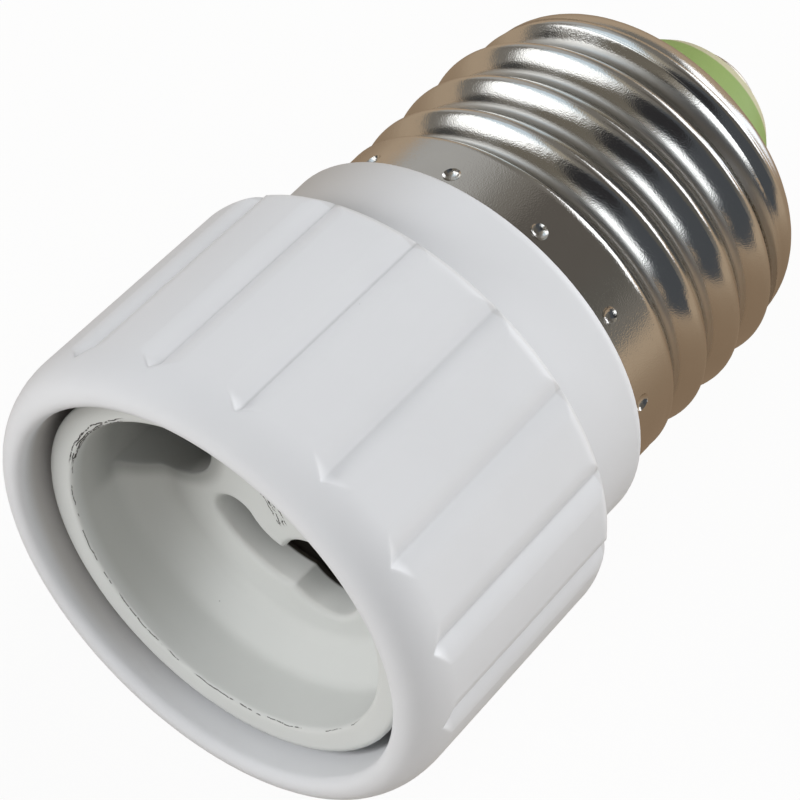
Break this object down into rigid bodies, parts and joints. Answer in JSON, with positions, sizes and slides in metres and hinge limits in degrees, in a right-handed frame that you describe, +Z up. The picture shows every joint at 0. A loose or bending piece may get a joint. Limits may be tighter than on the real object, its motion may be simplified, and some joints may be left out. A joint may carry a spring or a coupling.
{
  "type": "lamp socket adapter",
  "caption": "Lamp socket adapter: a fluted round housing with an Edison-screw cap behind and a twist-lock pin socket in its mouth.",
  "frame": {"origin": "on the axis, in the plane where the screw shell meets the collar", "axes": "+Y along the axis towards the screw cap's tip, +Z up with a valley between two grip panels facing down"},
  "size_m": [0.0338, 0.0543, 0.0338],
  "materials": {
    "white_body": "satin",
    "white_insert": "matte",
    "steel": "plain",
    "spring_strip": "plated",
    "lead_cover": "matte",
    "nickel": "nickel-plated",
    "green_cone": "satin",
    "tip_metal": "plated"
  },
  "bodies": {
    "root": {"housing": "white_body", "socket_insert": "white_insert", "fixing_screws": "steel", "contact_line": "spring_strip", "contact_neutral": "spring_strip", "lead_line": "lead_cover", "lead_neutral": "lead_cover", "screw_shell": "nickel", "tip_insulator": "green_cone", "centre_contact": "tip_metal"}
  },
  "joints": []
}
